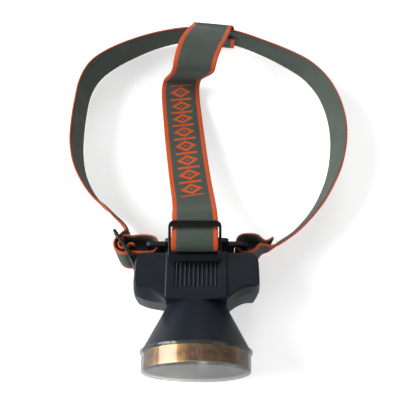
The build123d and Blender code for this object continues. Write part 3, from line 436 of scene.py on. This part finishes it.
NODE_MATERIALS = {
    "front_housing": moulded("housing_plastic", linear(29, 34, 41), 0.36, grain=0.014, edge=0.5, gloss=0.24),
    "rear_cover": moulded("rear_cover_plastic", linear(27, 32, 40), 0.38, grain=0.02, edge=0.4),
    "back_plate": moulded("bracket_nylon", linear(22, 23, 25), 0.38, grain=0.018, edge=0.4),
    "band_slider": moulded("band_slider_nylon", linear(24, 26, 28), 0.34, grain=0.014, edge=0.4),
    "top_slider": moulded("top_slider_nylon", linear(24, 26, 28), 0.32, grain=0.014, edge=0.4),
    "switch_button": moulded("button_rubber", linear(34, 35, 37), 0.62, grain=0.02, edge=0.4),
    "port_cover": moulded("port_rubber", linear(36, 37, 39), 0.60, grain=0.02, edge=0.4),
    "lens_gasket": moulded("gasket_rubber", linear(30, 30, 32), 0.58, grain=0.01, edge=0.2),
    "led_centring_ring": moulded("ring_plastic", linear(232, 232, 228), 0.45, grain=0.01, edge=0.2),
    "switch_body": moulded("switch_plastic", linear(46, 46, 48), 0.40, grain=0.01, edge=0.2),
    "driver_components": moulded("chip_epoxy", linear(44, 44, 46), 0.55, grain=0.012, edge=0.15),
    "led_wires": moulded("led_wire_pvc", linear(190, 40, 34), 0.35, grain=0.006, edge=0.1),
    "battery_wires": moulded("cell_wire_pvc", linear(184, 36, 30), 0.35, grain=0.006, edge=0.1),
    "housing_screws": metal("screw_steel", (0.55, 0.55, 0.56, 1), 0.35),
    "hinge_pin": metal("pin_steel", (0.62, 0.62, 0.63, 1), 0.28),
    "heat_sink": metal("turned_aluminium", (0.76, 0.77, 0.78, 1), 0.34, streak=(0.3, 7.0, 0.3)),
    "battery_tabs": metal("nickel_strip", (0.66, 0.64, 0.60, 1), 0.30),
    "usb_socket": metal("socket_steel", (0.66, 0.66, 0.66, 1), 0.28),
    "reflector": metal("mirror_coat", (0.93, 0.93, 0.94, 1), 0.12, streak=(0.4, 0.4, 0.4)),
    "driver_board": circuit_board("board_green", linear(24, 92, 48), (0.80, 0.62, 0.35, 1), 2.2),
    "led_board": circuit_board("board_white", linear(226, 228, 228), (0.80, 0.80, 0.78, 1), 3.0),
    "battery_cell": shrink_wrap("cell_wrap", linear(52, 112, 176)),
    "led_emitter": phosphor("emitter_phosphor"),
    "charge_indicator": clear_plastic("indicator_lens", (0.86, 0.92, 0.86, 1), 0.35),
    "lens_cap": clear_plastic("clear_polycarbonate", (0.93, 0.935, 0.925, 1), 0.03),
    "trim_band": gold_band("gold_film"),
}

for node, material in NODE_MATERIALS.items():
    mesh = frame["nodes"][node].data
    mesh.materials.clear()
    mesh.materials.append(material)


# ---- mesh helpers -------------------------------------------------------------------------------
def mesh_object(name, verts, faces, material):
    """A smooth-shaded mesh object from vertices in mm and faces."""
    mesh = bpy.data.meshes.new(name)
    mesh.from_pydata([tuple(c * MM for c in v) for v in verts], [], faces)
    mesh.polygons.foreach_set("use_smooth", [True] * len(mesh.polygons))
    mesh.materials.append(material)
    mesh.update()
    piece = bpy.data.objects.new(name, mesh)
    bpy.context.scene.collection.objects.link(piece)
    return piece


def ring_faces(count, size):
    """Quads between count rings of size vertices each, and the two end caps."""
    faces = []
    for i in range(count - 1):
        for j in range(size):
            k = (j + 1) % size
            faces.append((i * size + j, i * size + k, (i + 1) * size + k, (i + 1) * size + j))
    faces.append(tuple(reversed(range(size))))
    faces.append(tuple(range((count - 1) * size, count * size)))
    return faces


# ---- webbing ------------------------------------------------------------------------------------
def smooth(stations, steps):
    """Catmull-Rom curve through stations, each a list of numbers."""
    path = []
    last = len(stations) - 1
    for i in range(last):
        p0, p1, p2, p3 = (stations[max(0, min(last, i + k))] for k in (-1, 0, 1, 2))
        for step in range(steps):
            t = step / steps
            w0 = t * (-1 + t * (2 - t)) / 2
            w1 = 1 + t * t * (-5 + 3 * t) / 2
            w2 = t * (1 + t * (4 - 3 * t)) / 2
            w3 = t * t * (t - 1) / 2
            path.append([w0 * a + w1 * b + w2 * c + w3 * d for a, b, c, d in zip(p0, p1, p2, p3)])
    path.append(list(stations[last]))
    return path


class Ribbon:
    """The middle line of a length of webbing, with the directions across and out of it every SPACING mm."""

    SPACING = 0.55
    FINE_STEPS = 24          # steps from one station to the next, before the line is divided evenly

    def __init__(self, stations, flip=False):
        fine = smooth([[*centre, *across] for centre, across in stations], self.FINE_STEPS)
        points = [Vector(p[:3]) for p in fine]
        lengths = [0.0]
        for a, b in zip(points, points[1:]):
            lengths.append(lengths[-1] + (b - a).length)
        self.length = lengths[-1]
        count = round(self.length / self.SPACING) + 1
        self.at, self.frames = [], []
        k = 0
        for i in range(count):
            d = self.length * i / (count - 1)
            while k < len(lengths) - 2 and lengths[k + 1] < d:
                k += 1
            t = (d - lengths[k]) / max(lengths[k + 1] - lengths[k], 1e-9)
            point = points[k].lerp(points[k + 1], t)
            along = (points[min(k + 3, len(points) - 1)] - points[max(k - 2, 0)]).normalized()
            across = Vector(fine[k][3:]).lerp(Vector(fine[k + 1][3:]), t).normalized()
            out = along.cross(across).normalized() * (-1 if flip else 1)
            self.at.append(d)
            self.frames.append((point, across, out))

    def point(self, u, v, height):
        """The point u along, v across and height out of the middle line, in mm."""
        i = max(0, min(len(self.frames) - 2, int(u / self.length * (len(self.frames) - 1))))
        t = (u - self.at[i]) / (self.at[i + 1] - self.at[i])
        a, b = self.frames[i], self.frames[i + 1]
        centre, across, out = (a[k].lerp(b[k], t) for k in range(3))
        return centre + across * v + out * height

    def nearest(self, target, first=0.0, last=math.inf):
        """Distance along the webbing of the point nearest to target, between first and last."""
        spots = [(d, frame[0]) for d, frame in zip(self.at, self.frames) if first <= d <= last]
        return min(spots, key=lambda spot: (spot[1] - target).length)[0]


CORDS = 24                   # ribs across the webbing
RIB_HEIGHT = 0.05
WEAVE_HEIGHT = 0.035
GROOVE_AT = 11.8             # a shallow groove divides the coloured edge from the ground
GROOVE_HALF = 0.6
GROOVE_DEPTH = 0.10
FACE_SINK = 0.06             # the ribs' middle height lies this far inside the webbing's thickness
SELVAGE_REACH = 0.8          # of the rounded edge, over half the thickness
SELVAGE_STEPS = 6


def webbing_profile():
    """(across, height, printed) of the webbing's outline: two ribbed faces and two rounded selvages."""
    half, radius = WEBBING_WIDTH / 2, WEBBING_THICKNESS / 2
    flat = half - radius * SELVAGE_REACH
    upper = []
    for i in range(CORDS + 1):
        v = flat * (2 * i / CORDS - 1)
        rib = RIB_HEIGHT if i % 2 else -RIB_HEIGHT
        groove = GROOVE_DEPTH if abs(abs(v) - GROOVE_AT) < GROOVE_HALF else 0.0
        upper.append((v, radius - FACE_SINK + rib - groove))
    edge = []
    for step in range(1, SELVAGE_STEPS):
        a = math.pi / 2 - math.pi * step / SELVAGE_STEPS
        edge.append((flat + radius * SELVAGE_REACH * math.cos(a), radius * math.sin(a)))
    ring = [(v, h, 1.0) for v, h in upper]
    ring += [(v, h, 0.5 + 0.5 * h / radius) for v, h in edge]
    ring += [(v, -h, 0.0) for v, h in reversed(upper)]
    ring += [(-v, h, 0.5 + 0.5 * h / radius) for v, h in reversed(edge)]
    return ring


def webbing(name, ribbon, material):
    """Mesh of a ribbon: woven ribs in its surface, its UV map in mm and its printed face marked."""
    profile = webbing_profile()
    size, count = len(profile), len(ribbon.frames)
    verts = []
    for i, (centre, across, out) in enumerate(ribbon.frames):
        for j, (v, h, _) in enumerate(profile):
            weave = WEAVE_HEIGHT * (1 if (i // 2 + j) % 2 else -1)
            grow = 1 + weave / (WEBBING_THICKNESS / 2)
            verts.append(centre + across * v + out * h * grow)
    piece = mesh_object(name, verts, ring_faces(count, size), material)
    mesh = piece.data
    layer = mesh.uv_layers.new(name="webbing")
    for loop in mesh.loops:
        i, j = divmod(loop.vertex_index, size)
        layer.data[loop.index].uv = (ribbon.at[i], profile[j][0])
    printed = mesh.attributes.new("printed", "FLOAT", "POINT")
    printed.data.foreach_set("value", [profile[i % size][2] for i in range(count * size)])
    return piece


def standing(x, y, lean_x, lean_y, lift=0.0):
    """Station of the head band on the table: its centre, and the direction across its width. lean is how far
    its top edge stands out past its bottom edge."""
    up = math.sqrt(WEBBING_WIDTH ** 2 - lean_x ** 2 - lean_y ** 2)
    return Vector((x, y, TABLE_Z + up / 2 + 0.4 + lift)), Vector((lean_x, lean_y, up)) / WEBBING_WIDTH


def at_bracket(x, y):
    """Station of the head band beside the bracket, upright in the lamp frame."""
    return to_row(x, y, 0.0), to_row(0, 0, 1)


BAND_SLIDER_AT = (-50.0, -2.8)       # centre, in the lamp frame's plan
BAND_SLIDER_TURN = math.radians(56.4)


def at_band_slider(along, out):
    """Station given along the slider's length and out of its inner face."""
    c, s = math.cos(BAND_SLIDER_TURN), math.sin(BAND_SLIDER_TURN)
    return at_bracket(BAND_SLIDER_AT[0] + along * c + out * s, BAND_SLIDER_AT[1] - along * s + out * c)


def head_band_stations():
    """Sewn round the right-hand bracket bar, once round the head, and through the slider on the left."""
    right_loop = [
        (to_row(52.0, 5.2, -2.0), Vector((0, 0.05, 1))), (to_row(46.5, 2.4, -2.0), Vector((0, 0.08, 1))),
        at_bracket(41.0, 3.4), at_bracket(36.0, 4.2), at_bracket(31.0, 3.8), at_bracket(27.8, 1.6),
        at_bracket(26.9, -2.0), at_bracket(27.2, -5.6), at_bracket(29.6, -8.3), at_bracket(34.0, -8.9),
        at_bracket(38.5, -7.0), at_bracket(42.5, -3.0),
        (to_row(46.2, 0.0, -2.0), Vector((0, 0.08, 1))), (to_row(52.0, 1.6, -4.0), Vector((0, -0.05, 1))),
    ]
    round_head = [
        standing(59, 5.0, 0, -4), standing(72, 14.5, 0.6, -2.6), standing(85.5, 29.5, 1.5, -1.6),
        standing(94.5, 44.5, 2.4, -1.2), standing(101, 60, 3.6, -0.8), standing(104.8, 78, 4.4, 0),
        standing(105.2, 95, 4.0, 0.4), standing(102, 112, 2.4, 0.6), standing(95, 128, 0.5, 0),
        standing(83.5, 141.5, -1.0, -1.5), standing(67.5, 152, -1.5, -3.5),
        standing(50, 160.5, -1.5, -5.5, 0.6), standing(30, 167.6, -0.6, -6.8, 2.2),
        standing(9, 171.2, 0, -7.0, 2.4), standing(-12, 171.2, 0, -6.8, 1.6),
        standing(-33, 167.2, 1.2, -5.2, 0.3), standing(-51, 160.2, 1.2, -3.0), standing(-68, 151, 0.6, -1.2),
        standing(-80.5, 140.3, -0.2, 0), standing(-87.5, 126, -0.6, 0), standing(-90.2, 108, -0.9, 0),
        standing(-91.2, 92, -1.4, 0), standing(-90.9, 76, -1.8, 0), standing(-87.6, 60, -1.5, 0),
        standing(-81.2, 46.5, -1.2, 0), standing(-72.5, 35.0, -1.5, 0), standing(-62.5, 26.8, -2.5, 0.5, 0.8),
        standing(-55.0, 19.0, -4.0, 1.5, 2.0),
    ]
    left_loop = [
        at_band_slider(-9.5, 7.6), at_band_slider(-7.4, 3.6), at_band_slider(-6.4, 0.0),
        at_band_slider(-5.2, -3.4), at_band_slider(-1.6, -5.6), at_band_slider(2.6, -5.2),
        at_band_slider(5.8, -2.8), at_band_slider(7.4, 0.4),
        at_bracket(-42.0, -8.6), at_bracket(-37.0, -8.9), at_bracket(-32.0, -8.9), at_bracket(-28.2, -7.8),
        at_bracket(-26.8, -5.0), at_bracket(-26.8, -1.4), at_bracket(-28.6, 1.6), at_bracket(-32.5, 3.0),
        at_bracket(-38.0, 3.4), at_bracket(-43.5, 2.8), at_band_slider(-4.8, 3.8), at_band_slider(-3.0, 1.0),
        at_band_slider(-2.4, -1.6), at_band_slider(0.0, -2.7), at_band_slider(2.4, -1.6),
        at_band_slider(3.0, 1.0), at_band_slider(2.4, 4.2), at_bracket(-42.2, -3.2),
    ]
    return right_loop + round_head + left_loop


TOP_SLIDER_AT = (-6.7, 28.8)         # centre (y, z), in the lamp frame
TOP_SLIDER_SLOPE = math.radians(24.0)
TOP_SLIDER_X = -1.0


def slider_point(along, out):
    """(y, z) in the lamp frame of a point along the top slider's length and out of its upper face."""
    c, s = math.cos(TOP_SLIDER_SLOPE), math.sin(TOP_SLIDER_SLOPE)
    return TOP_SLIDER_AT[0] - along * c - out * s, TOP_SLIDER_AT[1] - along * s + out * c


def crosswise(y, z):
    """Station of the over-head strap beside the bracket; its width runs along x."""
    return to_row(TOP_SLIDER_X, y, z), Vector((1, 0, 0))


def flat_strap(x, y, z, turn):
    """Station of the over-head strap. turn is the angle of its width in plan, degrees."""
    a = math.radians(turn)
    return Vector((x, y, z)), Vector((math.cos(a), math.sin(a), 0))


# the rear of the head band, where the over-head strap is sewn round it: a shallow arc in plan
REAR_BAND_X = -1.5
REAR_BAND_Y = 171.65
REAR_BAND_Z = TABLE_Z + 17.4
REAR_BAND_BEND = 0.0041              # fall in y per x squared
REAR_BAND_LEAN = 7.0


def rear_wrap(up, out, x):
    """Station of the over-head strap round the rear of the head band: up along its width and out of it."""
    lean = math.asin(REAR_BAND_LEAN / WEBBING_WIDTH)
    bend = REAR_BAND_BEND * (x - REAR_BAND_X)
    y = REAR_BAND_Y - bend * (x - REAR_BAND_X) - up * math.sin(lean) + out * math.cos(lean)
    z = REAR_BAND_Z + up * math.cos(lean) + out * math.sin(lean)
    return flat_strap(x, y, z, -math.degrees(math.atan(2 * bend)))


def top_strap_stations():
    """Sewn round the top slider's centre bar, through the bracket's loop, back through the slider, over the
    head in a loose fold, and round the rear of the head band."""
    stations = [crosswise(*slider_point(*p)) for p in (
        (-2.6, 1.7), (0.0, 2.35), (2.3, 1.9), (3.0, 0.0), (2.3, -1.9), (0.0, -2.45))]
    stations += [crosswise(*p) for p in (
        (-3.4, 25.8), (-1.8, 24.9), (-1.5, 22.9), (-2.6, 21.0), (-4.8, 20.7), (-7.4, 20.9), (-9.8, 21.6),
        (-11.4, 23.2))]
    stations += [crosswise(*slider_point(*p)) for p in (
        (6.0, -1.0), (5.6, 1.8), (3.6, 4.2), (0.2, 4.9), (-3.2, 4.0), (-5.0, 1.8), (-6.2, -0.6), (-7.8, -2.3),
        (-9.8, -2.7), (-13.0, -2.7))]
    stations += [flat_strap(*p) for p in (
        (-1.5, 19.5, 25.0, 4), (-2.2, 27.0, 15.0, 7), (-3.4, 36.0, 6.5, 9), (-5.2, 47.0, 2.2, 8),
        (-8.0, 67.0, -3.0, 7), (-10.4, 86.0, -6.5, 7), (-12.5, 104.0, -11.0, 6), (-14.1, 119.0, -14.6, 5),
        (-14.7, 129.4, -14.7, 4), (-14.1, 134.0, -13.6, 3), (-12.9, 135.6, -9.6, 2), (-10.8, 133.4, -2.0, 1),
        (-8.2, 130.0, 7.0, 0), (-5.8, 126.6, 16.0, -1), (-3.9, 123.8, 24.5, -3), (-2.7, 122.9, 30.4, -6),
        (-1.8, 125.2, 34.4, -10), (-0.5, 130.0, 36.0, -14), (1.4, 136.5, 35.6, -17), (3.9, 144.5, 32.0, -17),
        (6.2, 152.0, 26.8, -15), (7.9, 158.6, 21.6, -12), (9.1, 163.8, 16.8, -9))]
    stations += [rear_wrap(*p) for p in (
        (16.4, 0.2, 10.0), (14.8, 2.2, 11.4), (8.0, 2.5, 12.8), (-8.0, 2.5, 13.5), (-14.2, 2.5, 13.5),
        (-16.0, 1.9, 13.5), (-16.6, 0.0, 13.5), (-16.2, -2.4, 13.5), (-14.6, -3.2, 13.5), (-8.0, -3.2, 13.5),
        (5.0, -3.2, 13.5))]
    return stations


head_band = Ribbon(head_band_stations())
top_strap = Ribbon(top_strap_stations(), flip=True)
motif_start = top_strap.nearest(Vector((-3.4, 36.0, 6.5)))        # just past the slider
motif_end = top_strap.nearest(Vector((-14.2, 133.6, -14.0)))      # where the fold begins

band_piece = webbing("band_webbing", head_band, woven("webbing_band", GREEN_GREY, ORANGE))
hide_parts("head_band")
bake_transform(band_piece)

strap_piece = webbing("strap_webbing", top_strap,
                      woven("webbing_strap", GREEN_GREY, ORANGE, motif=(motif_start, motif_end)))
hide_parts("top_strap")


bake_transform(strap_piece)


# ---- stitching ----------------------------------------------------------------------------------
STITCH_PITCH = 3.3
STITCH_ENDS = (0.12, 0.88)   # part of the pitch that shows as thread
STITCH_HEIGHT = 0.70         # of the thread's ends over the webbing's middle line
STITCH_ARCH = 0.34           # rise of the thread between its ends
THREAD_RADIUS = 0.24
THREAD_SIDES = 6
THREAD_STEPS = 6
SEAM_HALF = 11.5
SEAM_ROW_PITCH = 1.7

THREAD_ORANGE = thread("thread_orange", ORANGE)
THREAD_GREY = thread("thread_grey", GREEN_GREY)


def stitch(ribbon, start, end):
    """Vertices of one stitch between two (along, across) points: an arch of thread, thin at its ends."""
    line = []
    for i in range(THREAD_STEPS + 1):
        u, v = (a + (b - a) * i / THREAD_STEPS for a, b in zip(start, end))
        arch = math.sin(math.pi * i / THREAD_STEPS) ** 0.5 * STITCH_ARCH
        line.append(ribbon.point(u, v, STITCH_HEIGHT + arch))
    verts = []
    for i, point in enumerate(line):
        along = (line[min(i + 1, THREAD_STEPS)] - line[max(i - 1, 0)]).normalized()
        right = along.cross(Vector((0.3, 0.5, 0.8))).normalized()
        up = along.cross(right)
        radius = THREAD_RADIUS * (0.55 + 0.45 * math.sin(math.pi * i / THREAD_STEPS))
        for j in range(THREAD_SIDES):
            angle = 2 * math.pi * j / THREAD_SIDES
            verts.append(point + (right * math.cos(angle) + up * math.sin(angle)) * radius)
    return verts


def stitches(name, ribbon, rows, material):
    """Rows of thread on a ribbon's face. A row runs between two (along, across) points."""
    verts, faces = [], []
    for (u0, v0), (u1, v1) in rows:
        count = max(1, round(math.hypot(u1 - u0, v1 - v0) / STITCH_PITCH))
        for k in range(count):
            ends = [(k + part) / count for part in STITCH_ENDS]
            start, end = [(u0 + (u1 - u0) * t, v0 + (v1 - v0) * t) for t in ends]
            first = len(verts)
            verts += stitch(ribbon, start, end)
            faces += [tuple(first + q for q in face) for face in ring_faces(THREAD_STEPS + 1, THREAD_SIDES)]
    return mesh_object(name, verts, faces, material)


def seam_rows(u):
    """Three rows across the webbing, starting at u along it."""
    starts = [u + k * SEAM_ROW_PITCH for k in range(3)]
    return [((start, -SEAM_HALF), (start, SEAM_HALF)) for start in starts]


def box_seam(u0, u1):
    """A box of stitches with a cross in it, between two places along the webbing."""
    corners = [(u0, -SEAM_HALF), (u1, -SEAM_HALF), (u1, SEAM_HALF), (u0, SEAM_HALF)]
    sides = list(zip(corners, corners[1:] + corners[:1]))
    return sides + [(corners[0], corners[2]), (corners[1], corners[3])]


def sew():
    """The seams of the two straps."""
    # the head band: its loop round the right-hand bar, on both layers, and its tail at the slider
    joined = head_band.nearest(to_row(47.0, 0.2, -2.0), 60.0, 160.0)
    rows = seam_rows(3.4) + seam_rows(joined) + seam_rows(head_band.length - 7.0)
    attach(stitches("band_stitching", head_band, rows, THREAD_ORANGE), "bracket_and_straps")
    # the over-head strap: its loop round the rear of the head band, inside and outside
    end = top_strap.length
    outside = top_strap.nearest(rear_wrap(0.0, 2.5, 13.0)[0], end - 75.0)
    rows = box_seam(end - 15.0, end - 2.5) + box_seam(outside - 6.5, outside + 6.5)
    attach(stitches("strap_stitching", top_strap, rows, THREAD_GREY), "bracket_and_straps")


sew()


# ---- forehead pad -------------------------------------------------------------------------------
PAD_INSET = 0.15             # the mesh stays this far inside the CAD pad's outline
PAD_HALF_HEIGHT = 14.0 - PAD_INSET
PAD_CORNER = 5.0
PAD_CORNER_STEPS = 8
PAD_SPACING = 1.2            # of the points along the straight sides
PAD_THICKNESS = 3.0
PAD_ROLL = 0.1               # the rolled edge stops this short of the back and of the face
PAD_BULGE = 0.012            # of the rolled edge, as a part of the pad's size
PAD_LOW_Y = -0.9             # the face at its corners, where it is lowest
PAD_CROWN = 0.85
PAD_CHANNEL_X = 8.2          # two pressed channels
PAD_CHANNEL_HALF = 0.9
PAD_CHANNEL_DEPTH = 0.8
PAD_BACK_RINGS = 14
PAD_EDGE_RINGS = 8
PAD_FACE_RINGS = 20


def pad_outline(half_x):
    """Points round the pad: rounded corners, and points along the straight sides."""
    outline = []
    for cx, cz, start in ((1, 1, 0), (-1, 1, 90), (-1, -1, 180), (1, -1, 270)):
        for step in range(PAD_CORNER_STEPS + 1):
            a = math.radians(start + 90 * step / PAD_CORNER_STEPS)
            outline.append((cx * (half_x - PAD_CORNER) + PAD_CORNER * math.cos(a),
                            cz * (PAD_HALF_HEIGHT - PAD_CORNER) + PAD_CORNER * math.sin(a)))
    filled = []
    for (x0, z0), (x1, z1) in zip(outline, outline[1:] + outline[:1]):
        count = max(1, round(math.hypot(x1 - x0, z1 - z0) / PAD_SPACING))
        filled += [(x0 + (x1 - x0) * k / count, z0 + (z1 - z0) * k / count) for k in range(count)]
    return filled


def pad_face(x, z, half_x):
    """y of the pad's face: crowned, with the channels pressed in and a slight unevenness."""
    crown = max(0.0, 1.0 - (x / half_x) ** 4 * 0.6 - (z / PAD_HALF_HEIGHT) ** 4 * 0.6)
    press = sum(math.exp(-((x - c) / PAD_CHANNEL_HALF) ** 2) for c in (-PAD_CHANNEL_X, PAD_CHANNEL_X))
    uneven = 0.04 * math.sin(x * 5.3) * math.sin(z * 4.7)
    return PAD_LOW_Y + PAD_CROWN * crown - PAD_CHANNEL_DEPTH * press * crown + uneven


def pad_rings():
    """(size as a part of the outline, y) of the rings of points: from the middle of the back, round the
    rolled edge, to the middle of the face. y is None on the face."""
    middle = PAD_THICKNESS / 2
    rings = [(t / PAD_BACK_RINGS, -PAD_THICKNESS) for t in range(PAD_BACK_RINGS)]
    for k in range(PAD_EDGE_RINGS):
        rise = math.cos(math.pi * k / PAD_EDGE_RINGS)
        rings.append((1.0 - PAD_BULGE * rise ** 2, -middle - (middle - PAD_ROLL) * rise))
    rings.append((1.0 - PAD_BULGE, None))
    return rings + [(t / PAD_FACE_RINGS, None) for t in reversed(range(PAD_FACE_RINGS))]


def forehead_pad():
    """The foam pad, over the CAD one."""
    low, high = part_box("forehead_pad")
    half_x = (high.x - low.x) / 2 / MM - PAD_INSET
    outline, rings = pad_outline(half_x), pad_rings()
    verts = []
    for reach, ring_y in rings:
        for x, z in outline:
            px, pz = x * reach, z * reach
            y = pad_face(px, pz, half_x) if ring_y is None else ring_y
            verts.append(to_row(px, y, pz))
    piece = mesh_object("foam_pad", verts, ring_faces(len(rings), len(outline)),
                        foam("pad_foam", linear(34, 34, 36)))
    # the rings at the two middles have shrunk to points
    shape = bmesh.new()
    shape.from_mesh(piece.data)
    bmesh.ops.remove_doubles(shape, verts=shape.verts, dist=0.005 * MM)
    bmesh.ops.recalc_face_normals(shape, faces=shape.faces)
    shape.to_mesh(piece.data)
    shape.free()
    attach(piece, "bracket_and_straps")
    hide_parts("forehead_pad")


forehead_pad()


# ---- floor, light and camera --------------------------------------------------------------------
FLOOR_HALF = 3000.0
WORLD_LIGHT = 0.14
CAMERA_PLACE = (8.75, -60.46, 346.94)        # mm
CAMERA_TILT = 14.25                          # degrees up from straight down
CAMERA_LENS = 42.857
AIM = Vector((0, 0.04, 0))                   # the lights point here, metres
LIGHTS = [                                   # name, place in metres, diameter in metres, watts
    ("key", (-1.10, 0.20, 0.62), 1.0, 27.0),
    ("fill", (0.95, -0.45, 0.85), 0.8, 2.6),
    ("back", (0.15, 1.05, 0.75), 0.7, 4.0),
    ("front", (-0.25, -1.05, 0.70), 0.7, 2.5),
]


def studio_floor():
    """Pale floor under the lamp."""
    sides = ((-1, -1), (1, -1), (1, 1), (-1, 1))
    corners = [(x * FLOOR_HALF, y * FLOOR_HALF, TABLE_Z - 0.1) for x, y in sides]
    mesh_object("studio_floor", corners, [(0, 1, 2, 3)], floor_paper("floor_paper"))


def studio_world():
    """Weak light from all round; the camera sees it as plain white."""
    world = bpy.data.worlds.new("studio_world")
    world.use_nodes = True
    tree = world.node_tree
    seen = tree.nodes.new("ShaderNodeLightPath").outputs["Is Camera Ray"]
    glow = tree.nodes.new("ShaderNodeMapRange")
    tree.links.new(seen, glow.inputs["Value"])
    glow.inputs["To Min"].default_value = WORLD_LIGHT
    glow.inputs["To Max"].default_value = 1.0
    tree.nodes["Background"].inputs["Color"].default_value = (1.0, 1.0, 1.0, 1)
    tree.links.new(glow.outputs["Result"], tree.nodes["Background"].inputs["Strength"])
    bpy.context.scene.world = world


def studio_lights():
    """A large soft key from the left, and weak lights from the other sides."""
    for name, place, size, power in LIGHTS:
        data = bpy.data.lights.new(name, "AREA")
        data.shape, data.size, data.energy = "DISK", size, power
        lamp = bpy.data.objects.new(name, data)
        lamp.location = place
        lamp.rotation_euler = (AIM - Vector(place)).to_track_quat("-Z", "Y").to_euler()
        bpy.context.scene.collection.objects.link(lamp)


def studio_camera():
    """The camera, above and in front of the lamp."""
    data = bpy.data.cameras.new("camera")
    data.lens = CAMERA_LENS
    data.clip_start = 0.01
    camera = bpy.data.objects.new("camera", data)
    camera.location = Vector(CAMERA_PLACE) * MM
    camera.rotation_euler = Euler((math.radians(CAMERA_TILT), 0, 0))
    bpy.context.scene.collection.objects.link(camera)
    bpy.context.scene.camera = camera
    bpy.context.scene.view_settings.view_transform = "Standard"


studio_floor()
studio_world()
studio_lights()
studio_camera()
